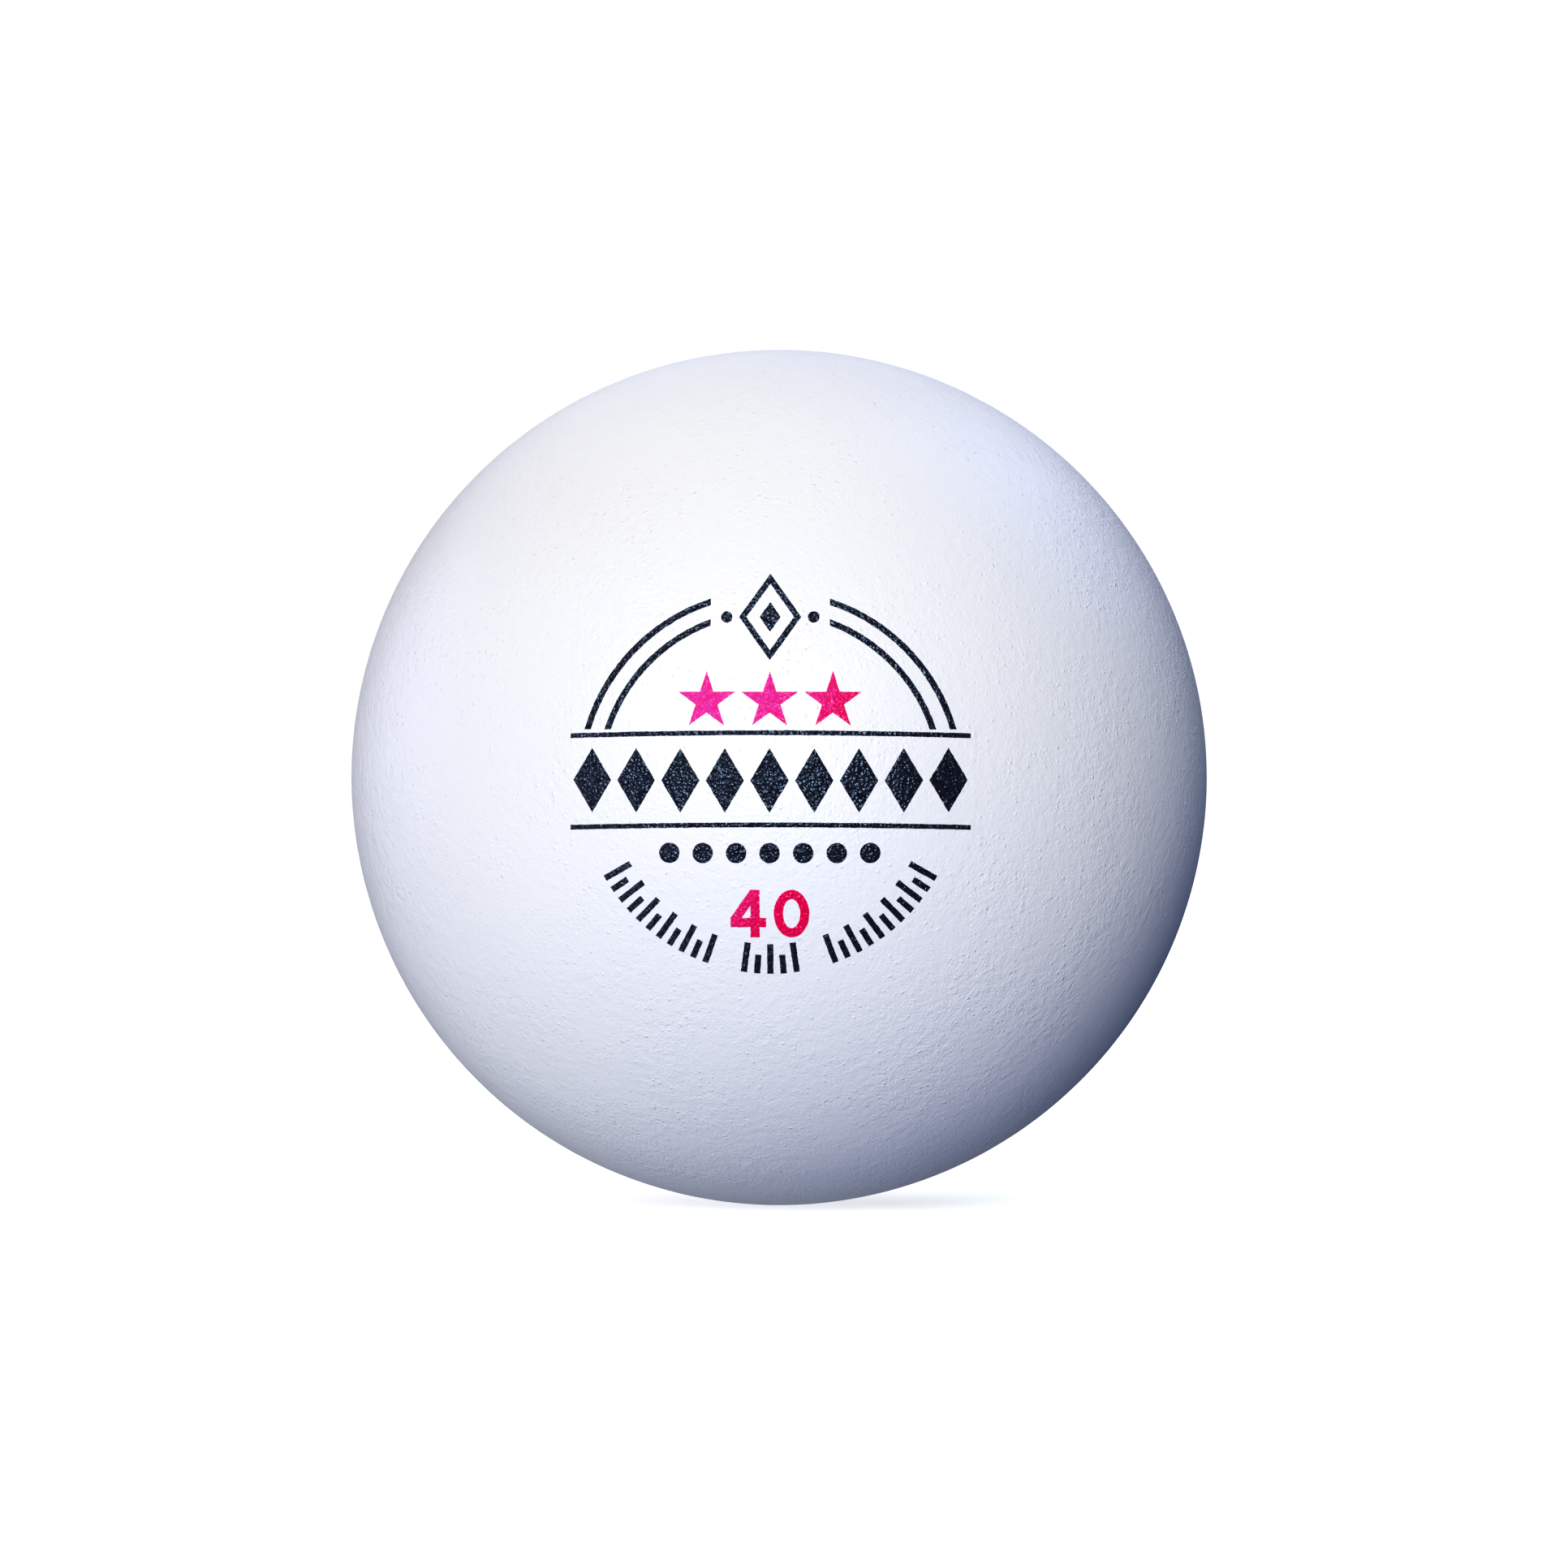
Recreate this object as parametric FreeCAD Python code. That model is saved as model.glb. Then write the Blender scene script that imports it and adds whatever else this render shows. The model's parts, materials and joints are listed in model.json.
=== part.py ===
# Table tennis ball of the 40 mm class: two moulded half-shells, the cement ring that joins them, and the
# pad-printed marks on the front shell.
#
# The origin is the ball's centre. -Y runs out through the middle of the print, +Z is the top of the print
# and +X is to its right as it is read. The seam lies in the plane Y = 0. Every length is in millimetres.

import FreeCAD, Part
import math
import os

# The ball. ABS at 1.05 g/cm3 with this wall and rib weighs 2.72 g.
BALL_RADIUS = 20.1
WALL = 0.50
ABS_DENSITY = 0.00105

# The seam: a butt joint through the wall, and inside it a lap joint on a tongue that stands up from the
# rear half's rim.
CEMENT_FILM = 0.04
TONGUE_THICKNESS = 0.35
TONGUE_LENGTH = 1.2
RIB_LENGTH = 0.9
RIB_RAMP = 0.6
CEMENT_BEAD = 0.25

# The ink is one dried film. Print sizes are measured square to the print's axis.
INK_FILM = 0.02
PRINT_CLEARANCE = 1.0
PRINT_DEPTH = 5.0

ARC_RADII = {"outer": 8.56, "inner": 7.69}
ARC_STROKE = 0.28
ARC_GAP_HALF = 2.67
ARC_FOOT = 2.40

RULE_HEIGHTS = {"upper": 2.19, "lower": -1.93}
RULE_HALF_LENGTH = 9.0
RULE_STROKE = 0.22
RULE_BOW = 0.15

STAR_COUNT = 3
STAR_POINTS = 5
STAR_RADIUS = 1.35
STAR_PITCH = 2.83
STAR_HEIGHT = 3.68

BAND_COUNT = 9
BAND_PITCH = 2.0
BAND_LOZENGE = (1.72, 2.9)
BAND_HEIGHT = 0.13

DOT_COUNT = 7
DOT_PITCH = 1.5
DOT_RADIUS = 0.46
DOT_HEIGHT = -3.12

NUMERAL_HEIGHT = 2.15
NUMERAL_WIDTH = 1.6
NUMERAL_STROKE = 0.42
NUMERAL_GAP = 0.34
NUMERAL_FOOT = -6.92
FOUR_BAR_HEIGHT = 0.46
FOUR_BAR_END = 0.29

EMBLEM_HEIGHT = 7.45
EMBLEM_LOZENGE = (2.8, 3.9)
EMBLEM_STROKE = 0.27
EMBLEM_CORE = (0.95, 1.35)
EMBLEM_DOT_RADIUS = 0.26
EMBLEM_DOT_REACH = 1.95

SCALE_OUTER_RADIUS = 8.58
SCALE_LONG_TICK = 1.35
SCALE_SHORT_TICK = 0.85
SCALE_STROKE = 0.28
SCALE_STEP_DEG = 4.0
SCALE_GROUPS = {"left": (230.0, 11), "middle": (270.0, 5), "right": (310.0, 11)}


# ---- sections of revolution: a point is (distance from the Y axis, height along Y) ----

def section_point(from_axis, along_y):
    return FreeCAD.Vector(from_axis, along_y, 0)


def on_sphere(radius, along_y):
    """The section point on a centred sphere at this height along Y."""
    return section_point(math.sqrt(max(radius ** 2 - along_y ** 2, 0.0)), along_y)


def sphere_arc(radius, start_y, end_y):
    """The section's arc along a centred sphere between two heights along Y."""
    start_angle = math.asin(start_y / radius)
    end_angle = math.asin(end_y / radius)
    middle_y = radius * math.sin((start_angle + end_angle) / 2)
    points = [on_sphere(radius, y) for y in (start_y, middle_y, end_y)]
    return Part.Arc(*points).toShape()


def line(start, end):
    return Part.LineSegment(start, end).toShape()


def turned(edges):
    """The solid of revolution about the Y axis of the section that these edges close."""
    section = Part.Face(Part.Wire(Part.__sortEdges__(edges)))
    return section.revolve(FreeCAD.Vector(0, 0, 0), FreeCAD.Vector(0, 1, 0), 360)


INNER_RADIUS = BALL_RADIUS - WALL
TONGUE_OUTER_RADIUS = INNER_RADIUS - CEMENT_FILM
TONGUE_INNER_RADIUS = TONGUE_OUTER_RADIUS - TONGUE_THICKNESS
BUTT_FACE = CEMENT_FILM / 2


def front_half_shell():
    """The printed half: an even wall with a square rim."""
    return turned([
        sphere_arc(BALL_RADIUS, -BALL_RADIUS, -BUTT_FACE),
        line(on_sphere(BALL_RADIUS, -BUTT_FACE), on_sphere(INNER_RADIUS, -BUTT_FACE)),
        sphere_arc(INNER_RADIUS, -BUTT_FACE, -INNER_RADIUS),
        line(section_point(0, -INNER_RADIUS), section_point(0, -BALL_RADIUS)),
    ])


def rear_half_shell():
    """The plain half: its rib carries the tongue that reaches inside the front half's rim."""
    ramp_end = RIB_LENGTH + RIB_RAMP
    tongue_end = -TONGUE_LENGTH
    return turned([
        sphere_arc(BALL_RADIUS, BALL_RADIUS, BUTT_FACE),
        line(on_sphere(BALL_RADIUS, BUTT_FACE), on_sphere(TONGUE_OUTER_RADIUS, BUTT_FACE)),
        sphere_arc(TONGUE_OUTER_RADIUS, BUTT_FACE, tongue_end),
        line(on_sphere(TONGUE_OUTER_RADIUS, tongue_end), on_sphere(TONGUE_INNER_RADIUS, tongue_end)),
        sphere_arc(TONGUE_INNER_RADIUS, tongue_end, RIB_LENGTH),
        line(on_sphere(TONGUE_INNER_RADIUS, RIB_LENGTH), on_sphere(INNER_RADIUS, ramp_end)),
        sphere_arc(INNER_RADIUS, ramp_end, INNER_RADIUS),
        line(section_point(0, INNER_RADIUS), section_point(0, BALL_RADIUS)),
    ])


def seam_cement():
    """The film between the rims and behind the tongue, and the bead squeezed out past the tongue's end."""
    tongue_end = -TONGUE_LENGTH
    bead_end = tongue_end - CEMENT_BEAD
    bead_foot = on_sphere(TONGUE_OUTER_RADIUS - CEMENT_BEAD / 2, tongue_end)
    return turned([
        sphere_arc(BALL_RADIUS, BUTT_FACE, -BUTT_FACE),
        line(on_sphere(BALL_RADIUS, -BUTT_FACE), on_sphere(INNER_RADIUS, -BUTT_FACE)),
        sphere_arc(INNER_RADIUS, -BUTT_FACE, bead_end),
        line(on_sphere(INNER_RADIUS, bead_end), bead_foot),
        line(bead_foot, on_sphere(TONGUE_OUTER_RADIUS, tongue_end)),
        sphere_arc(TONGUE_OUTER_RADIUS, tongue_end, BUTT_FACE),
        line(on_sphere(TONGUE_OUTER_RADIUS, BUTT_FACE), on_sphere(BALL_RADIUS, BUTT_FACE)),
    ])


# ---- print: flat faces drawn with X to the right and Y up, then laid on the ball ----

def flat(x, y):
    return FreeCAD.Vector(x, y, 0)


def polygon(points):
    return Part.Face(Part.makePolygon([*points, points[0]]))


def disc(x, y, radius):
    return Part.Face(Part.Wire(Part.makeCircle(radius, flat(x, y))))


def ellipse(x, y, half_width, half_height):
    """An upright ellipse: its longer half is half_height."""
    curve = Part.Ellipse(flat(x, y + half_height), flat(x + half_width, y), flat(x, y))
    return Part.Face(Part.Wire(curve.toShape()))


def lozenge(x, y, width, height):
    return polygon([
        flat(x + width / 2, y),
        flat(x, y + height / 2),
        flat(x - width / 2, y),
        flat(x, y - height / 2),
    ])


def rectangle(low_x, low_y, high_x, high_y):
    return polygon([flat(low_x, low_y), flat(high_x, low_y), flat(high_x, high_y), flat(low_x, high_y)])


def row(count, pitch):
    """The places of count things in a row about 0."""
    return [(i - (count - 1) / 2) * pitch for i in range(count)]


def arc_faces():
    """A left and a right quarter of two rings, cut off above the upper rule and beside the emblem."""
    reach = BALL_RADIUS
    faces = []
    for radius in ARC_RADII.values():
        ring = disc(0, 0, radius + ARC_STROKE / 2).cut(disc(0, 0, radius - ARC_STROKE / 2))
        for low_x, high_x in ((-reach, -ARC_GAP_HALF), (ARC_GAP_HALF, reach)):
            faces += ring.common(rectangle(low_x, ARC_FOOT, high_x, reach)).Faces
    return faces


def rule_faces():
    """Two long lines across the ball, each a little higher in its middle than at its ends."""
    left, right = -RULE_HALF_LENGTH, RULE_HALF_LENGTH
    half = RULE_STROKE / 2
    faces = []
    for height in RULE_HEIGHTS.values():
        end, middle = height - RULE_BOW / 2, height + RULE_BOW / 2
        upper = Part.Arc(flat(left, end + half), flat(0, middle + half), flat(right, end + half))
        lower = Part.Arc(flat(right, end - half), flat(0, middle - half), flat(left, end - half))
        edges = [
            upper.toShape(),
            line(flat(right, end + half), flat(right, end - half)),
            lower.toShape(),
            line(flat(left, end - half), flat(left, end + half)),
        ]
        faces.append(Part.Face(Part.Wire(edges)))
    return faces


def star_faces():
    """Three five-pointed stars, whose sides are the lines of the pentagram."""
    notch = STAR_RADIUS * math.sin(math.radians(18)) / math.sin(math.radians(126))
    faces = []
    for x in row(STAR_COUNT, STAR_PITCH):
        points = []
        for i in range(2 * STAR_POINTS):
            angle = math.pi / 2 + i * math.pi / STAR_POINTS
            radius = notch if i % 2 else STAR_RADIUS
            points.append(flat(x + radius * math.cos(angle), STAR_HEIGHT + radius * math.sin(angle)))
        faces.append(polygon(points))
    return faces


def band_faces():
    return [lozenge(x, BAND_HEIGHT, *BAND_LOZENGE) for x in row(BAND_COUNT, BAND_PITCH)]


def dot_faces():
    return [disc(x, DOT_HEIGHT, DOT_RADIUS) for x in row(DOT_COUNT, DOT_PITCH)]


def four_face(left):
    """A closed-top 4 of even strokes: its counter is one stroke inside the diagonal, stem and bar."""
    stroke = NUMERAL_STROKE
    foot, top = NUMERAL_FOOT, NUMERAL_FOOT + NUMERAL_HEIGHT
    right = left + NUMERAL_WIDTH
    stem_right = right - FOUR_BAR_END
    stem_left = stem_right - stroke
    bar_bottom = foot + FOUR_BAR_HEIGHT
    bar_top = bar_bottom + stroke
    run = stem_left - left
    rise = top - bar_top
    diagonal = math.hypot(run, rise)
    outline = polygon([
        flat(stem_left, foot),
        flat(stem_right, foot),
        flat(stem_right, bar_bottom),
        flat(right, bar_bottom),
        flat(right, bar_top),
        flat(stem_right, bar_top),
        flat(stem_right, top),
        flat(stem_left, top),
        flat(left, bar_top),
        flat(left, bar_bottom),
        flat(stem_left, bar_bottom),
    ])
    counter = polygon([
        flat(stem_left, bar_top),
        flat(stem_left, top - stroke * diagonal / run),
        flat(left + stroke * diagonal / rise, bar_top),
    ])
    return outline.cut(counter).Faces[0]


def zero_face(left):
    """An oval 0 of even strokes."""
    x = left + NUMERAL_WIDTH / 2
    y = NUMERAL_FOOT + NUMERAL_HEIGHT / 2
    outer = ellipse(x, y, NUMERAL_WIDTH / 2, NUMERAL_HEIGHT / 2)
    inner = ellipse(x, y, NUMERAL_WIDTH / 2 - NUMERAL_STROKE, NUMERAL_HEIGHT / 2 - NUMERAL_STROKE)
    return outer.cut(inner).Faces[0]


def numeral_faces():
    """The ball's nominal size, 40, in plain upright numerals."""
    return [four_face(-NUMERAL_GAP / 2 - NUMERAL_WIDTH), zero_face(NUMERAL_GAP / 2)]


def emblem_faces():
    """An outlined lozenge with a solid one in its middle and a dot on each side."""
    width, height = EMBLEM_LOZENGE
    shrink = 1 - 2 * EMBLEM_STROKE * math.hypot(width, height) / (width * height)
    outline = lozenge(0, EMBLEM_HEIGHT, width, height).cut(
        lozenge(0, EMBLEM_HEIGHT, width * shrink, height * shrink)
    )
    core = lozenge(0, EMBLEM_HEIGHT, *EMBLEM_CORE)
    dots = [disc(side * EMBLEM_DOT_REACH, EMBLEM_HEIGHT, EMBLEM_DOT_RADIUS) for side in (-1, 1)]
    return [outline.Faces[0], core, *dots]


def scale_faces():
    """Three groups of ticks along the print's lower edge, long and short by turns, long at both ends."""
    faces = []
    for middle_deg, count in SCALE_GROUPS.values():
        for i, offset_deg in enumerate(row(count, SCALE_STEP_DEG)):
            length = SCALE_SHORT_TICK if i % 2 else SCALE_LONG_TICK
            tick = rectangle(
                SCALE_OUTER_RADIUS - length, -SCALE_STROKE / 2, SCALE_OUTER_RADIUS, SCALE_STROKE / 2
            )
            tick.rotate(flat(0, 0), FreeCAD.Vector(0, 0, 1), middle_deg + offset_deg)
            faces.append(tick)
    return faces


def printed(faces):
    """The ink of these faces: each is carried along Y onto the ball and keeps one film's thickness."""
    film = Part.makeSphere(BALL_RADIUS + INK_FILM).cut(Part.makeSphere(BALL_RADIUS))
    solids = []
    for face in faces:
        placed = face.copy()
        placed.rotate(FreeCAD.Vector(0, 0, 0), FreeCAD.Vector(1, 0, 0), 90)
        placed.translate(FreeCAD.Vector(0, -BALL_RADIUS - PRINT_CLEARANCE, 0))
        prism = placed.extrude(FreeCAD.Vector(0, PRINT_CLEARANCE + PRINT_DEPTH, 0))
        solids += prism.common(film).Solids
    return Part.makeCompound(solids)


def export(name, shape):
    if not shape.isValid():
        raise ValueError(f"{name} isn't a valid shape")
    shape.exportStep(f"parts/{name}.step")
    print(f"{name}: {len(shape.Solids)} solids, {shape.Volume:.4f} mm3")


def main():
    os.makedirs("parts", exist_ok=True)
    moulded = {
        "front_half_shell": front_half_shell(),
        "rear_half_shell": rear_half_shell(),
        "seam_cement": seam_cement(),
    }
    marks = {
        "print_arcs": arc_faces(),
        "print_emblem": emblem_faces(),
        "print_stars": star_faces(),
        "print_rules": rule_faces(),
        "print_lozenge_band": band_faces(),
        "print_dots": dot_faces(),
        "print_numerals": numeral_faces(),
        "print_scale": scale_faces(),
    }
    for name, shape in moulded.items():
        export(name, shape)
    for name, faces in marks.items():
        ink = printed(faces)
        if len(ink.Solids) != len(faces):
            raise ValueError(f"{name} has {len(ink.Solids)} solids for {len(faces)} marks")
        export(name, ink)
    mass = ABS_DENSITY * sum(shape.Volume for shape in moulded.values())
    print(f"ball without its ink: {mass:.3f} g")


main()
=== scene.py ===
"""A table tennis ball: half-shells, cemented seam and printed ink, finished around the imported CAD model."""

import json
import math

import bmesh
import bpy
import numpy as np
from mathutils import Matrix, Vector, geometry, noise


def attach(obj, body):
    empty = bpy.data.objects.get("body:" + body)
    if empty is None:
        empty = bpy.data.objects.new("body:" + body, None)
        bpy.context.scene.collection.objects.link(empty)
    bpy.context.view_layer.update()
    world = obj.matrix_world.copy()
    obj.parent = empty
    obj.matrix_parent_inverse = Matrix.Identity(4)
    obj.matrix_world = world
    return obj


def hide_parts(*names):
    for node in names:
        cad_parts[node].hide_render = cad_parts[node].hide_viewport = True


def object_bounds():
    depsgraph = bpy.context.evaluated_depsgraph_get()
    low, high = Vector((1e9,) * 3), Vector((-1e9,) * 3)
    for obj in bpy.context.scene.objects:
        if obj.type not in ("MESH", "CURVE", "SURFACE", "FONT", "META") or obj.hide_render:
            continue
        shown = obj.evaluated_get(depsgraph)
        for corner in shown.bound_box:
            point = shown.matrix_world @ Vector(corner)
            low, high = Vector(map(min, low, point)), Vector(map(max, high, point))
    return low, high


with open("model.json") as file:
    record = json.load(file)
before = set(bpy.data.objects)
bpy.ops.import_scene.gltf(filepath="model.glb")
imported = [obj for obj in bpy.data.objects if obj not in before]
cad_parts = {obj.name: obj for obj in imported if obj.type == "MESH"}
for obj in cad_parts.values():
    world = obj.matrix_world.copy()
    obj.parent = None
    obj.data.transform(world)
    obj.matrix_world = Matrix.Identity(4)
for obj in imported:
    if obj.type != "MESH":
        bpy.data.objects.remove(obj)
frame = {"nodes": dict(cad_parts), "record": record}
cad_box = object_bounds()

MM = 0.001
MICRON = 1e-6

# Rows of even triangles lie this much of a side apart.
TRIANGLE_ROW = math.sqrt(3) / 2

# Shells. The skin has a vertex every SKIN_STEP, fine enough to carry the grain's coarser part as shape.
SKIN_STEP = 0.19 * MM
HIDDEN_STEP = 0.8 * MM
EDGE_BREAK = 0.035 * MM
CEMENT_SHRINKAGE = 6 * MICRON
SHELL_CREASE = math.radians(40)

# The grain that is shape. Near the seam, where the ball is buffed, it fades to BUFFED_RELIEF of its depth.
SKIN_RELIEF = 12 * MICRON
SKIN_GRAIN = 0.62 * MM
BROAD_GRAIN = 3.1 * SKIN_GRAIN
BROAD_OFFSET = Vector((7, 3, 5))
COARSE_SWING = 0.36
BROAD_SWING = 0.14
BUFFED_INNER = 0.165 * MM
BUFFED_OUTER = 0.88 * MM
BUFFED_RELIEF = 0.25

# Ink: the mesh's spacing inside and along the outline, how far the edge wanders, over what distances and
# from which planes of the noise, the width over which the film thins to EDGE_FILM of its thickness, how much
# it varies elsewhere, how much of the grain under it its top follows, and how deep its foot is sunk.
INK_STEP = 0.085 * MM
INK_OUTLINE_STEP = 0.045 * MM
INK_RAGGED = 0.014 * MM
RAGGED_SIZE = 0.16 * MM
RAGGED_DRIFT = 0.5 * MM
DRIFT_SWING = 0.6
RAGGED_PLANES = (4.0, 9.0)
INK_EDGE = 0.07 * MM
EDGE_FILM = 0.3
FILM_SWING = 0.22
FILM_SIZE = 0.35 * MM
INK_SINKS_WITH_GRAIN = 0.8
INK_ROOT = 8 * MICRON
INK_CREASE = math.radians(50)

# Bump, finer than the mesh can carry. The skin's swells and tooth have a spacing and a slope, and its nibs
# and pits a spacing, a slope (negative for nibs, which stand up) and the share of places that have one. All
# of it is scaled by SKIN_UNEVEN over patches of GRAIN_PATCH, and by BUFFED_BUMP beside the seam.
SWELLS = (0.42 * MM, 0.042)
TOOTH = (0.12 * MM, 0.105)
NIBS = (0.27 * MM, -0.42, 0.35)
PITS = (0.31 * MM, 0.22, 0.28)
GRAIN_PATCH = 4 * MM
SKIN_UNEVEN = (0.65, 1.1)
BUFFED_BUMP = 0.35
CEMENT_TOOTH = (0.12 * MM, 0.08)
INK_TOOTH = 0.155 * MM
INK_TOOTH_HEIGHT = 0.38 * INK_TOOTH
INK_FINE_TOOTH = (0.09 * MM, 0.15)

# Surfaces. A pair of colours or roughnesses is the two ends that a noise blends between, over clouds or
# patches of the size given. Most of a noise lies in NOISE_MIDDLE.
NOISE_MIDDLE = (0.3, 0.7)
ABS_CLOUD = 9 * MM
ABS_COLOURS = ((0.885, 0.885, 0.90), (0.915, 0.915, 0.92))
ABS_SHINE_PATCH = 0.5 * MM
ABS_ROUGHNESS = (0.36, 0.48)
BUFFED_SMOOTHER = 0.08
ABS_IOR = 1.53
CEMENT_CLOUD = 0.8 * MM
CEMENT_COLOURS = ((0.70, 0.70, 0.69), (0.80, 0.80, 0.78))
CEMENT_ROUGHNESS = (0.3, 0.45)
INK_ROUGHNESS = (0.14, 0.21)
INK_IOR = 1.58

# The size of the ink's thin patches. Its pinholes: their pitch, the radii in pitches between which each one
# fades out, and the size of the groups they come in.
INK_PATCH = 0.30 * MM
PINHOLE_PITCH = 0.17 * MM
PINHOLE_EDGE = (0.05, 0.11)
PINHOLE_GROUP = 0.6 * MM

# Camera: azimuth and elevation in degrees from straight in front of the print, distance from the ball's
# centre, lens in mm, and how far right and up it is then moved without being turned.
CAMERA_AZIMUTH = 1.2
CAMERA_ELEVATION = 0.8
CAMERA_DISTANCE = 0.400
CAMERA_LENS = 195.2
AIM_RIGHT = 0.229 * MM
AIM_UP = -0.305 * MM

# Lights, on the camera's rig: name, direction from the ball (right, up, towards the camera), colour, watts
# and diameter.
LIGHT_REACH = 0.7
RIG = [
    ("key", (-0.15, 0.30, 0.94), (1.0, 0.97, 0.84), 4.6, 0.3),
    ("front_fill", (0.02, -0.30, 0.95), (0.40, 0.52, 1.0), 2.15, 0.3),
    ("back_top", (0.0, 0.80, -0.60), (0.82, 0.85, 1.0), 4.1, 1.1),
    ("back_left", (-0.85, 0.20, -0.50), (0.60, 0.63, 1.0), 1.6, 0.5),
    ("low_left", (-0.70, -0.60, -0.30), (0.94, 0.98, 1.0), 2.4, 1.1),
    ("back_right", (0.60, 0.65, -0.45), (0.32, 0.48, 1.0), 1.5, 0.5),
]
AMBIENT = (0.7, 0.75, 1.0)
AMBIENT_STRENGTH = 0.01
BACKDROP_STRENGTH = 1.05

# The floor's glow rises over this stretch away from the ball, until the floor is as white as the backdrop.
FLOOR_RADIUS = 1.6
FLOOR_SIDES = 96
FLOOR_GLOW = (0.63, 1.0)
FLOOR_GLOW_FROM = 0.03
FLOOR_GLOW_TO = 0.12
FLOOR_COLOUR = (0.88, 0.88, 0.89)
FLOOR_ROUGHNESS = 0.7


# ---- what the CAD model says about the shells ----

def cad_points(node):
    """A CAD node's vertices as an array."""
    mesh = frame["nodes"][node].data
    points = np.zeros(len(mesh.vertices) * 3, np.float32)
    mesh.vertices.foreach_get("co", points)
    return points.reshape(-1, 3).astype(float)


def shell_sizes():
    """The radii of the walls and the heights along Y at which the seam's steps lie."""
    front = cad_points("front_half_shell")
    rear = cad_points("rear_half_shell")
    front_radii = np.linalg.norm(front, axis=1)
    rear_radii = np.linalg.norm(rear, axis=1)
    tongue_end = -rear[:, 1].min()
    tongue = rear_radii[rear[:, 1] < -tongue_end / 2]
    slack = 0.02 * MM
    on_tongue_wall = rear_radii < tongue.min() + slack
    on_inner_wall = abs(rear_radii - front_radii.min()) < slack
    return {
        "outer": front_radii.max(),
        "inner": front_radii.min(),
        "tongue_outer": tongue.max(),
        "tongue_inner": tongue.min(),
        "tongue_end": tongue_end,
        "rib_end": rear[on_tongue_wall, 1].max(),
        "ramp_end": rear[on_inner_wall & (rear[:, 1] > 0), 1].min(),
        "film": -front[:, 1].max(),
        "bead_end": -cad_points("seam_cement")[:, 1].min(),
    }


shell = shell_sizes()


# ---- turned meshes: rings about the Y axis, each with as many vertices as its size needs ----

def sphere_rings(radius, start_y, end_y, step):
    """Rings (distance from the axis, height, vertex spacing) over a sphere between two heights along Y."""
    start, end = math.asin(start_y / radius), math.asin(end_y / radius)
    count = max(2, math.ceil(abs(end - start) * radius / (step * TRIANGLE_ROW)))
    angles = [start + (end - start) * i / count for i in range(count + 1)]
    return [(radius * math.cos(a), radius * math.sin(a), step) for a in angles]


def ring_vertices(from_axis, along_y, step, turn):
    """One ring's vertices and their angles. A ring of no size is a single vertex."""
    if from_axis < step / 4:
        return [Vector((0, along_y, 0))], [0.0]
    count = max(6, round(2 * math.pi * from_axis / step))
    angles = [2 * math.pi * (i + turn) / count for i in range(count)]
    return [Vector((from_axis * math.cos(a), along_y, from_axis * math.sin(a))) for a in angles], angles


def bridge(first, first_angles, second, second_angles):
    """The triangles between two rings of vertex numbers, each step taken on the ring that is behind."""
    faces = []
    a = b = 0
    while a < len(first) or b < len(second):
        next_a = first_angles[(a + 1) % len(first)] + 2 * math.pi * ((a + 1) // len(first))
        next_b = second_angles[(b + 1) % len(second)] + 2 * math.pi * ((b + 1) // len(second))
        here_a, here_b = first[a % len(first)], second[b % len(second)]
        second_waits = b >= len(second) or len(second) == 1 or next_a <= next_b
        if len(first) > 1 and a < len(first) and second_waits:
            faces.append((here_a, here_b, first[(a + 1) % len(first)]))
            a += 1
        elif len(second) > 1 and b < len(second):
            faces.append((here_a, here_b, second[(b + 1) % len(second)]))
            b += 1
        else:
            break
    return faces


def turned(name, rings, closed=False):
    """A mesh of the surface through these rings, joined end to end if it is closed."""
    vertices, bands = [], []
    for i, (from_axis, along_y, step) in enumerate(rings):
        ring, angles = ring_vertices(from_axis, along_y, step, turn=(i % 2) / 2)
        bands.append((list(range(len(vertices), len(vertices) + len(ring))), angles))
        vertices += ring
    pairs = list(zip(bands, bands[1:] + bands[:1]))
    if not closed:
        pairs.pop()
    faces = [face for (a, aa), (b, bb) in pairs for face in bridge(a, aa, b, bb)]
    return mesh_object(name, vertices, faces)


def mesh_object(name, vertices, faces):
    mesh = bpy.data.meshes.new(name)
    mesh.from_pydata([tuple(v) for v in vertices], [], faces)
    mesh.validate()
    mesh.shade_smooth()
    piece = bpy.data.objects.new(name, mesh)
    bpy.context.scene.collection.objects.link(piece)
    return piece


def face_outwards(piece):
    """Makes every face of a closed piece face out of its solid."""
    work = bmesh.new()
    work.from_mesh(piece.data)
    bmesh.ops.recalc_face_normals(work, faces=work.faces)
    work.to_mesh(piece.data)
    work.free()


# ---- the grain's coarser part, which is shape ----

def smoothstep(low, high, value):
    t = min(max((value - low) / (high - low), 0.0), 1.0)
    return t * t * (3 - 2 * t)


def relief(point):
    """How far the moulded skin lies inside the sphere here. It is less on the buffed band at the seam."""
    coarse = noise.noise(point / SKIN_GRAIN)
    broad = noise.noise(point / BROAD_GRAIN + BROAD_OFFSET)
    depth = 0.5 + COARSE_SWING * coarse + BROAD_SWING * broad
    unbuffed = smoothstep(BUFFED_INNER, BUFFED_OUTER, abs(point.y))
    return SKIN_RELIEF * depth * (BUFFED_RELIEF + (1 - BUFFED_RELIEF) * unbuffed)


def add_grain(piece):
    """Sinks the vertices on the outer sphere by the relief."""
    skin_radius = shell["outer"] - 0.5 * MICRON
    for vertex in piece.data.vertices:
        radius = vertex.co.length
        if radius > skin_radius:
            vertex.co *= (radius - relief(vertex.co)) / radius


# ---- shells and cement ----

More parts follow.
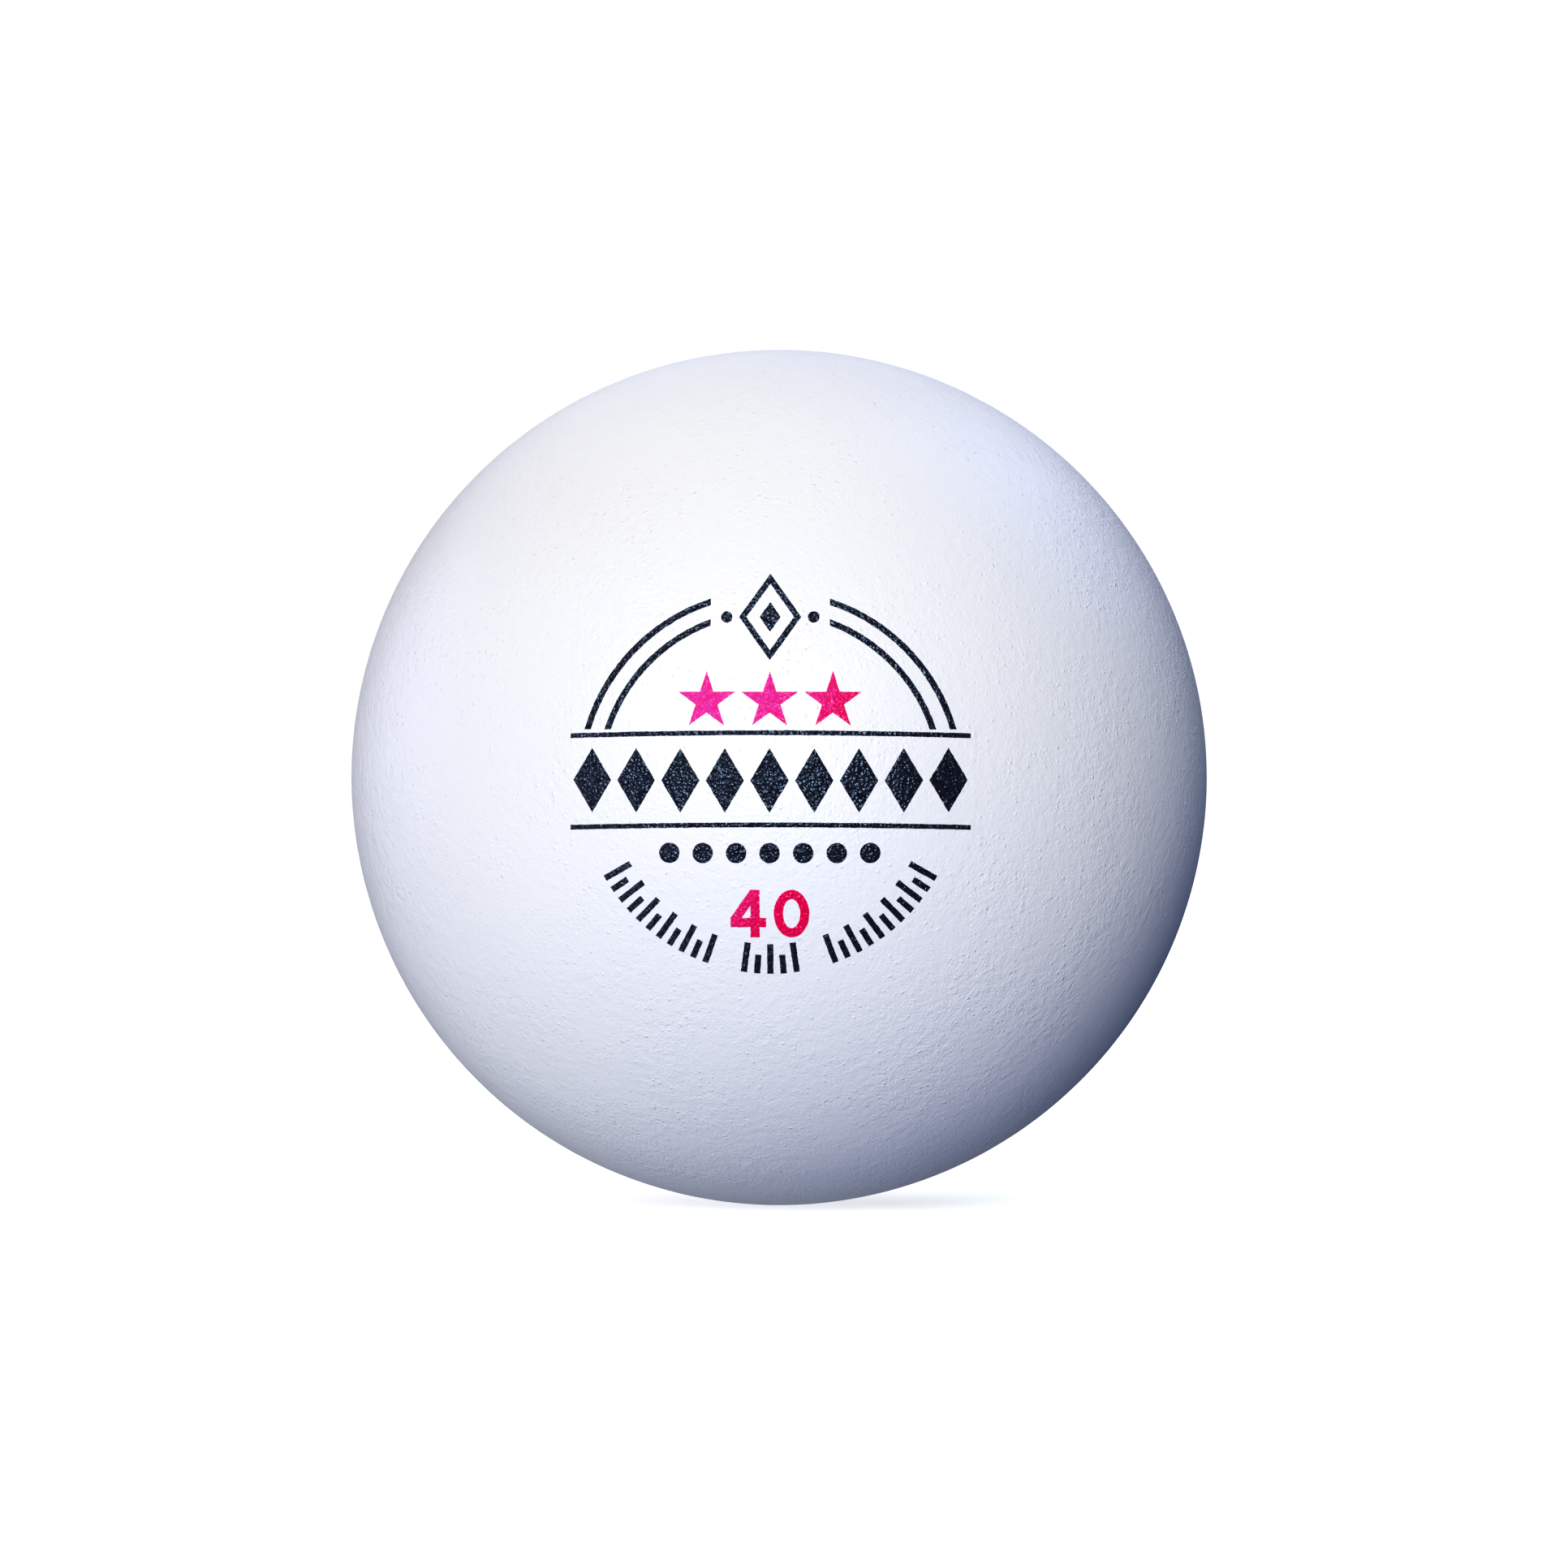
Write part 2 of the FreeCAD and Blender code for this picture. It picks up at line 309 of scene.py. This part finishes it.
def broken_edge(side):
    """The rings that round off a rim's outer edge. side is -1 for the front shell and 1 for the rear."""
    centre_y = shell["film"] + EDGE_BREAK
    centre_r = math.sqrt((shell["outer"] - EDGE_BREAK) ** 2 - centre_y ** 2)
    turns = [math.radians(a) for a in (0, 30, 60, 90)]
    return [
        (centre_r + EDGE_BREAK * math.cos(a), side * (centre_y - EDGE_BREAK * math.sin(a)), SKIN_STEP)
        for a in turns
    ]


def rim_ring(radius, along_y, step=HIDDEN_STEP):
    return (math.sqrt(radius ** 2 - along_y ** 2), along_y, step)


def front_half():
    butt = -shell["film"]
    rings = sphere_rings(shell["outer"], -shell["outer"], butt - 2 * EDGE_BREAK, SKIN_STEP)
    rings += broken_edge(-1)
    rings += sphere_rings(shell["inner"], butt, -shell["inner"], HIDDEN_STEP)
    return turned("front_half_shell_skin", rings)


def rear_half():
    butt = shell["film"]
    rings = sphere_rings(shell["outer"], shell["outer"], butt + 2 * EDGE_BREAK, SKIN_STEP)
    rings += broken_edge(1)
    rings += sphere_rings(shell["tongue_outer"], butt, -shell["tongue_end"], HIDDEN_STEP)
    rings += sphere_rings(shell["tongue_inner"], -shell["tongue_end"], shell["rib_end"], HIDDEN_STEP)
    rings += sphere_rings(shell["inner"], shell["ramp_end"], shell["inner"], HIDDEN_STEP)
    return turned("rear_half_shell_skin", rings)


def cement_ring():
    film, end = shell["film"], shell["tongue_end"]
    sunk = shell["outer"] - CEMENT_SHRINKAGE
    bead_foot = shell["tongue_outer"] - (shell["bead_end"] - end) / 2
    rings = [
        rim_ring(shell["outer"], film, SKIN_STEP),
        rim_ring(sunk, film / 2, SKIN_STEP),
        rim_ring(sunk, -film / 2, SKIN_STEP),
        rim_ring(shell["outer"], -film, SKIN_STEP),
        rim_ring(shell["inner"], -film),
    ]
    rings += sphere_rings(shell["inner"], -film, -shell["bead_end"], HIDDEN_STEP)[1:]
    rings.append(rim_ring(bead_foot, -end))
    rings += sphere_rings(shell["tongue_outer"], -end, film, HIDDEN_STEP)
    return turned("seam_cement_ring", rings, closed=True)


# ---- ink ----

def outer_outlines(node):
    """The outlines of each island of ink in a CAD node: for every island, loops of (x, z) points in mm."""
    mesh = frame["nodes"][node].data
    points = cad_points(node)
    weld = 0.1 * MICRON
    cells = np.round(points / weld).astype(int)
    _, first, number = np.unique(cells, axis=0, return_index=True, return_inverse=True)
    number = number.ravel()
    points = points[first]
    radii = np.linalg.norm(points, axis=1)
    outer = radii > (radii.min() + radii.max()) / 2
    parent = list(range(len(points)))

    def root(i):
        while parent[i] != i:
            i = parent[i]
        return i

    edges = {}
    for polygon in mesh.polygons:
        corners = [int(number[v]) for v in polygon.vertices]
        if len(set(corners)) < 3 or not outer[corners].all():
            continue
        for a, b in zip(corners, corners[1:] + corners[:1]):
            edges[a, b] = True
            parent[root(a)] = root(b)
    after = {a: b for a, b in edges if (b, a) not in edges}
    islands = {}
    while after:
        start, current = next(iter(after.items()))
        loop = [start]
        del after[start]
        while current != start:
            loop.append(current)
            current = after.pop(current)
        islands.setdefault(root(start), []).append(points[loop][:, [0, 2]] / MM)
    return list(islands.values())


def ragged(loop):
    """A loop in mm with a point every INK_OUTLINE_STEP, each pushed in or out a little as the ink crept."""
    step = INK_OUTLINE_STEP / MM
    size, drift = RAGGED_SIZE / MM, RAGGED_DRIFT / MM
    fine = []
    for a, b in zip(loop, np.roll(loop, -1, axis=0)):
        length = np.linalg.norm(b - a)
        count = max(1, round(length / step))
        side = np.array([b[1] - a[1], a[0] - b[0]]) / max(length, 1e-9)
        for i in range(count):
            point = a + (b - a) * i / count
            creep = noise.noise(Vector((*(point / size), RAGGED_PLANES[0])))
            creep += DRIFT_SWING * noise.noise(Vector((*(point / drift), RAGGED_PLANES[1])))
            fine.append(point + side * creep * INK_RAGGED / MM)
    return np.array(fine)


def inside(points, loops):
    """Which points lie inside these loops, by counting the crossings to their right."""
    hits = np.zeros(len(points), int)
    for loop in loops:
        ax, az = loop[:, 0], loop[:, 1]
        bx, bz = np.roll(ax, -1), np.roll(az, -1)
        x, z = points[:, :1], points[:, 1:]
        spans = (az > z) != (bz > z)
        with np.errstate(divide="ignore", invalid="ignore"):
            cross_x = ax + (z - az) * (bx - ax) / (bz - az)
        hits += (spans & (x < cross_x)).sum(axis=1)
    return hits % 2 == 1


def edge_distance(points, outline):
    """Each point's distance from the nearest outline point."""
    return np.sqrt(((points[:, None] - outline[None]) ** 2).sum(axis=2)).min(axis=1)


def grid_inside(loops, outline):
    """Evenly spaced points in mm inside these loops, clear of their outline."""
    low, high = outline.min(axis=0), outline.max(axis=0)
    step = INK_STEP / MM
    grid = []
    for i, z in enumerate(np.arange(low[1], high[1], step * TRIANGLE_ROW)):
        grid += [(x, z) for x in np.arange(low[0] + (i % 2) * step / 2, high[0], step)]
    grid = np.array(grid).reshape(-1, 2)
    grid = grid[inside(grid, loops)]
    if len(grid):
        grid = grid[edge_distance(grid, outline) > step / 2]
    return grid


def triangulated(loops):
    """Points in mm and triangles that fill the loops, and how far in metres each point is from the edge."""
    outline = np.concatenate(loops)
    fences = []
    start = 0
    for loop in loops:
        count = len(loop)
        fences += [(start + i, start + (i + 1) % count) for i in range(count)]
        start += count
    corners = [Vector(p) for p in np.concatenate([outline, grid_inside(loops, outline)])]
    points, _, faces, *_ = geometry.delaunay_2d_cdt(corners, fences, [], 0, 1e-7, False)
    points = np.array([tuple(p) for p in points])
    faces = np.array(faces)
    faces = faces[inside(points[faces].mean(axis=1), loops)]
    return points, faces, edge_distance(points, outline) * MM


def island_mesh(loops, film):
    """Vertices and faces of one island of ink: a crowned skin, a wall, and a foot sunk into the shell."""
    points, faces, from_edge = triangulated([ragged(loop) for loop in loops])
    skin, foot = [], []
    for (x, z), distance in zip(points * MM, from_edge):
        ray = Vector((x, -math.sqrt(shell["outer"] ** 2 - x * x - z * z), z))
        sunk = relief(ray)
        unit = ray.normalized()
        thickness = film * (EDGE_FILM + (1 - EDGE_FILM) * smoothstep(0, INK_EDGE, distance))
        thickness *= 1 - FILM_SWING * abs(noise.noise(ray / FILM_SIZE))
        skin.append(unit * (shell["outer"] - INK_SINKS_WITH_GRAIN * sunk + thickness))
        foot.append(unit * (shell["outer"] - sunk - INK_ROOT))
    count = len(skin)
    triangles = [tuple(f) for f in faces.tolist()]
    rims = {}
    for a, b, c in triangles:
        for edge in ((a, b), (b, c), (c, a)):
            rims[edge] = True
    walls = [(b, a, a + count, b + count) for a, b in rims if (b, a) not in rims]
    underside = [(c + count, b + count, a + count) for a, b, c in triangles]
    return skin + foot, triangles + underside + walls


def ink_piece(node):
    """The piece that stands for a CAD node of ink."""
    film = np.linalg.norm(cad_points(node), axis=1).max() - shell["outer"]
    vertices, faces = [], []
    for loops in outer_outlines(node):
        island, patches = island_mesh(loops, film)
        faces += [tuple(i + len(vertices) for i in patch) for patch in patches]
        vertices += island
    piece = mesh_object(node.replace("print", "ink"), vertices, faces)
    face_outwards(piece)
    piece.data.set_sharp_from_angle(angle=INK_CREASE)
    return piece


# ---- materials ----

class Nodes:
    """A material's node tree with short ways to add to it."""

    def __init__(self, name):
        self.material = bpy.data.materials.new(name)
        self.material.use_nodes = True
        self.tree = self.material.node_tree
        self.shader = self.tree.nodes["Principled BSDF"]
        self.place = self.add("ShaderNodeTexCoord").outputs["Object"]

    def add(self, kind, **settings):
        node = self.tree.nodes.new(kind)
        for key, value in settings.items():
            setattr(node, key, value)
        return node

    def link(self, output, target):
        self.tree.links.new(output, target)

    def noise(self, size, detail=2.0, roughness=0.5):
        """Noise whose features are about this size, as a factor from 0 to 1."""
        node = self.add("ShaderNodeTexNoise")
        node.inputs["Scale"].default_value = 1 / size
        node.inputs["Detail"].default_value = detail
        node.inputs["Roughness"].default_value = roughness
        self.link(self.place, node.inputs["Vector"])
        return node.outputs["Fac"]

    def cells(self, size):
        """Distance from the nearest of many points scattered about this far apart, 0 at the point."""
        node = self.add("ShaderNodeTexVoronoi")
        node.inputs["Scale"].default_value = 1 / size
        self.link(self.place, node.inputs["Vector"])
        return node.outputs["Distance"]

    def spread(self, factor, low, high, to_low=0.0, to_high=1.0):
        """factor's stretch from low to high spread over to_low to to_high."""
        node = self.add("ShaderNodeMapRange", clamp=True)
        self.link(factor, node.inputs["Value"])
        node.inputs["From Min"].default_value = low
        node.inputs["From Max"].default_value = high
        node.inputs["To Min"].default_value = to_low
        node.inputs["To Max"].default_value = to_high
        return node.outputs["Result"]

    def maths(self, operation, first, second):
        node = self.add("ShaderNodeMath", operation=operation)
        for value, socket in ((first, node.inputs[0]), (second, node.inputs[1])):
            if isinstance(value, (int, float)):
                socket.default_value = value
            else:
                self.link(value, socket)
        return node.outputs[0]

    def blend(self, factor, first, second):
        """Two colours mixed by a factor. Each is an (r, g, b) or another node's output."""
        node = self.add("ShaderNodeMix", data_type="RGBA")
        self.link(factor, node.inputs["Factor"])
        for value, socket in ((first, node.inputs["A"]), (second, node.inputs["B"])):
            if isinstance(value, tuple):
                socket.default_value = (*value, 1)
            else:
                self.link(value, socket)
        return node.outputs["Result"]

    def bump(self, height, depth, below=None):
        node = self.add("ShaderNodeBump")
        node.inputs["Strength"].default_value = 1.0
        node.inputs["Distance"].default_value = depth
        self.link(height, node.inputs["Height"])
        if below is not None:
            self.link(below, node.inputs["Normal"])
        return node.outputs["Normal"]

    def grain(self, size, slope, amount=None, below=None):
        """Bumps of about this size whose sides slope by about this much, times amount where there is one."""
        noise_run = 2.2
        height = self.noise(size, detail=1.0)
        if amount is not None:
            height = self.maths("MULTIPLY", height, amount)
        return self.bump(height, noise_run * slope * size, below)

    def spots(self, size, slope, share, amount, below=None):
        """Small round pits scattered about this far apart, in this share of the places, with sides of this
        slope. Where the slope is negative they stand up as nibs."""
        reach = 0.4
        smoothstep_steepest = 1.5
        spots = self.add("ShaderNodeTexVoronoi")
        spots.inputs["Scale"].default_value = 1 / size
        self.link(self.place, spots.inputs["Vector"])
        pick = self.add("ShaderNodeSeparateColor")
        self.link(spots.outputs["Color"], pick.inputs[0])
        chosen = self.spread(pick.outputs["Red"], 1 - share, 1 - share / 2)
        bowl = self.spread(spots.outputs["Distance"], 0.0, reach, -1.0, 0.0)
        bowl.node.interpolation_type = "SMOOTHSTEP"
        height = self.maths("MULTIPLY", self.maths("MULTIPLY", bowl, chosen), amount)
        return self.bump(height, slope * reach * size / smoothstep_steepest, below)

    def along(self, direction, start, end):
        """0 to 1 from start to end in this direction across the print, given as its (x, z)."""
        dot = self.add("ShaderNodeVectorMath", operation="DOT_PRODUCT")
        self.link(self.place, dot.inputs[0])
        dot.inputs[1].default_value = Vector((direction[0], 0, direction[1])).normalized()
        return self.spread(dot.outputs["Value"], start, end)

    def along_seam(self):
        """1 on the buffed band beside the seam, fading to 0."""
        axes = self.add("ShaderNodeSeparateXYZ")
        self.link(self.place, axes.inputs[0])
        away = self.maths("ABSOLUTE", axes.outputs["Y"], 0.0)
        return self.spread(away, BUFFED_INNER, BUFFED_OUTER, 1.0, 0.0)


def skin_grain(nodes, amount):
    """The skin's grain finer than the mesh: soft swells, a fine tooth, and scattered nibs and pits."""
    normal = nodes.grain(*SWELLS, amount)
    normal = nodes.grain(*TOOTH, amount, below=normal)
    normal = nodes.spots(*NIBS, amount, below=normal)
    return nodes.spots(*PITS, amount, below=normal)


def abs_shell():
    nodes = Nodes("white_abs")
    shader = nodes.shader
    cloudy = nodes.noise(ABS_CLOUD, detail=3)
    nodes.link(nodes.blend(cloudy, *ABS_COLOURS), shader.inputs["Base Color"])
    buffed = nodes.along_seam()
    uneven = nodes.spread(nodes.noise(GRAIN_PATCH, detail=1), 0.38, 0.62, *SKIN_UNEVEN)
    amount = nodes.maths("MULTIPLY", uneven, nodes.spread(buffed, 0, 1, 1.0, BUFFED_BUMP))
    nodes.link(skin_grain(nodes, amount), shader.inputs["Normal"])
    patchy = nodes.spread(nodes.noise(ABS_SHINE_PATCH), *NOISE_MIDDLE, *ABS_ROUGHNESS)
    smoother = nodes.maths("MULTIPLY", buffed, BUFFED_SMOOTHER)
    nodes.link(nodes.maths("SUBTRACT", patchy, smoother), shader.inputs["Roughness"])
    shader.inputs["IOR"].default_value = ABS_IOR
    return nodes.material


def dried_cement():
    nodes = Nodes("dried_cement")
    shader = nodes.shader
    cloudy = nodes.noise(CEMENT_CLOUD, detail=3)
    nodes.link(nodes.blend(cloudy, *CEMENT_COLOURS), shader.inputs["Base Color"])
    nodes.link(nodes.grain(*CEMENT_TOOTH), shader.inputs["Normal"])
    nodes.link(nodes.spread(cloudy, *NOISE_MIDDLE, *CEMENT_ROUGHNESS), shader.inputs["Roughness"])
    shader.inputs["IOR"].default_value = ABS_IOR
    return nodes.material


def ink(name, thick, thin_and_painted_sheen, bare, sheen, painted_sheen_fade=None):
    """Pad-printing ink over the grain. Its colour thins in patches, and pinholes show the shell through. A
    fade, where given, is a direction across the print and where along it to start and end. Towards that side
    the patches take the second colour, a painted sheen that puts the highlight's tint into the base colour."""
    nodes = Nodes(name)
    shader = nodes.shader
    patches = nodes.spread(nodes.noise(INK_PATCH, detail=3), 0.35, 0.7)
    # Painted sheen: with a fade, the patches show only towards its side, so the second colour paints the
    # highlight's tint there.
    if painted_sheen_fade is not None:
        ramp = nodes.along(*painted_sheen_fade)
        patches = nodes.maths("MULTIPLY", nodes.spread(patches, 0, 1, 0.45, 1.0), ramp)
    colour = nodes.blend(patches, thick, thin_and_painted_sheen)
    pinholes = nodes.spread(nodes.cells(PINHOLE_PITCH), *PINHOLE_EDGE, 1.0, 0.0)
    some = nodes.spread(nodes.noise(PINHOLE_GROUP), 0.52, 0.62)
    pinholes = nodes.maths("MULTIPLY", pinholes, some)
    nodes.link(nodes.blend(pinholes, colour, bare), shader.inputs["Base Color"])
    normal = nodes.bump(nodes.cells(INK_TOOTH), INK_TOOTH_HEIGHT)
    normal = nodes.grain(*INK_FINE_TOOTH, below=normal)
    nodes.link(normal, shader.inputs["Normal"])
    nodes.link(nodes.spread(patches, 0, 1, *INK_ROUGHNESS), shader.inputs["Roughness"])
    shader.inputs["IOR"].default_value = INK_IOR
    shader.inputs["Specular Tint"].default_value = (*sheen, 1)
    return nodes.material


# ---- the studio ----

def make_floor(height):
    """A round pale floor that brightens to the backdrop's white away from the ball."""
    mesh = bpy.data.meshes.new("studio_floor")
    turns = [2 * math.pi * i / FLOOR_SIDES for i in range(FLOOR_SIDES)]
    corners = [(FLOOR_RADIUS * math.cos(a), FLOOR_RADIUS * math.sin(a), height) for a in turns]
    mesh.from_pydata(corners, [], [tuple(range(FLOOR_SIDES))])
    floor = bpy.data.objects.new("studio_floor", mesh)
    bpy.context.scene.collection.objects.link(floor)
    nodes = Nodes("pale_floor")
    nodes.shader.inputs["Base Color"].default_value = (*FLOOR_COLOUR, 1)
    nodes.shader.inputs["Roughness"].default_value = FLOOR_ROUGHNESS
    reach = nodes.add("ShaderNodeVectorMath", operation="LENGTH")
    nodes.link(nodes.place, reach.inputs[0])
    glow = nodes.spread(reach.outputs["Value"], FLOOR_GLOW_FROM, FLOOR_GLOW_TO, *FLOOR_GLOW)
    nodes.shader.inputs["Emission Color"].default_value = (1, 1, 1, 1)
    nodes.link(glow, nodes.shader.inputs["Emission Strength"])
    mesh.materials.append(nodes.material)
    floor.visible_diffuse = False
    floor.visible_glossy = False
    floor.visible_shadow = False


def make_camera():
    """The camera, moved a little right and down, so that the ball is framed a little left and up."""
    azimuth, elevation = math.radians(CAMERA_AZIMUTH), math.radians(CAMERA_ELEVATION)
    back = Vector((
        math.sin(azimuth) * math.cos(elevation),
        -math.cos(azimuth) * math.cos(elevation),
        math.sin(elevation),
    ))
    turn = (-back).to_track_quat("-Z", "Y")
    data = bpy.data.cameras.new("camera")
    data.lens = CAMERA_LENS
    data.sensor_width = 36.0
    data.clip_start = 0.01
    data.clip_end = 10.0
    camera = bpy.data.objects.new("camera", data)
    camera.rotation_mode = "QUATERNION"
    camera.rotation_quaternion = turn
    camera.location = back * CAMERA_DISTANCE + turn @ Vector((AIM_RIGHT, AIM_UP, 0))
    bpy.context.scene.collection.objects.link(camera)
    bpy.context.scene.camera = camera
    return camera


def softbox(camera, name, direction, colour, power, size):
    """A round soft light on the camera's rig. direction is from the ball: right, up, towards the camera."""
    data = bpy.data.lights.new(name, "AREA")
    data.shape = "DISK"
    data.size = size
    data.color = colour
    data.energy = power
    light = bpy.data.objects.new(name, data)
    bpy.context.scene.collection.objects.link(light)
    towards = Vector(direction).normalized()
    ball = Vector((0, 0, -CAMERA_DISTANCE))
    light.parent = camera
    turn = towards.to_track_quat("Z", "Y").to_matrix().to_4x4()
    light.matrix_local = Matrix.Translation(ball + towards * LIGHT_REACH) @ turn


def make_world():
    """White to the camera, and a dim cool glow to everything else."""
    world = bpy.data.worlds.new("studio")
    world.use_nodes = True
    tree = world.node_tree
    tree.nodes.clear()
    seen = tree.nodes.new("ShaderNodeBackground")
    seen.inputs["Color"].default_value = (1, 1, 1, 1)
    seen.inputs["Strength"].default_value = BACKDROP_STRENGTH
    glow = tree.nodes.new("ShaderNodeBackground")
    glow.inputs["Color"].default_value = (*AMBIENT, 1)
    glow.inputs["Strength"].default_value = AMBIENT_STRENGTH
    path = tree.nodes.new("ShaderNodeLightPath")
    mix = tree.nodes.new("ShaderNodeMixShader")
    output = tree.nodes.new("ShaderNodeOutputWorld")
    tree.links.new(path.outputs["Is Camera Ray"], mix.inputs["Fac"])
    tree.links.new(glow.outputs[0], mix.inputs[1])
    tree.links.new(seen.outputs[0], mix.inputs[2])
    tree.links.new(mix.outputs[0], output.inputs["Surface"])
    bpy.context.scene.world = world


# ---- making it ----

shell_material = abs_shell()
inks = {
    "ink_black": ink(
        "blue_black_ink",
        thick=(0.004, 0.0045, 0.009),
        thin_and_painted_sheen=(0.010, 0.011, 0.021),
        bare=(0.08, 0.09, 0.14),
        sheen=(0.34, 0.55, 1.0),
    ),
    # The pink's second colour, mottled by the patches and fading in towards the print's upper left, is a
    # painted sheen: the highlight's violet tint put into the ink's colour.
    "ink_pink": ink(
        "pink_ink",
        thick=(0.84, 0.001, 0.062),
        thin_and_painted_sheen=(0.87, 0.028, 0.40),
        bare=(0.9, 0.16, 0.6),
        sheen=(0.5, 0.2, 1.0),
        painted_sheen_fade=((-0.9, 0.44), -2.5 * MM, 2.3 * MM),
    ),
}
cad_slots = {part["node"]: part["material_slot"] for part in frame["record"]["subparts"]}
parts = {
    "front_half_shell": (front_half(), shell_material),
    "rear_half_shell": (rear_half(), shell_material),
    "seam_cement": (cement_ring(), dried_cement()),
}
for node in ("front_half_shell", "rear_half_shell"):
    add_grain(parts[node][0])
for node, (piece, _) in parts.items():
    face_outwards(piece)
    piece.data.set_sharp_from_angle(angle=SHELL_CREASE)
for node, slot in cad_slots.items():
    if slot in inks:
        parts[node] = (ink_piece(node), inks[slot])
for node, (piece, material) in parts.items():
    piece.data.materials.append(material)
    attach(piece, "root")
    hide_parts(node)

camera = make_camera()
make_floor(cad_box[0].z)
for light in RIG:
    softbox(camera, *light)
# The front fill lights the print's lower half but doesn't shine in its ink.
bpy.data.objects["front_fill"].visible_glossy = False
make_world()
bpy.context.scene.view_settings.view_transform = "Standard"
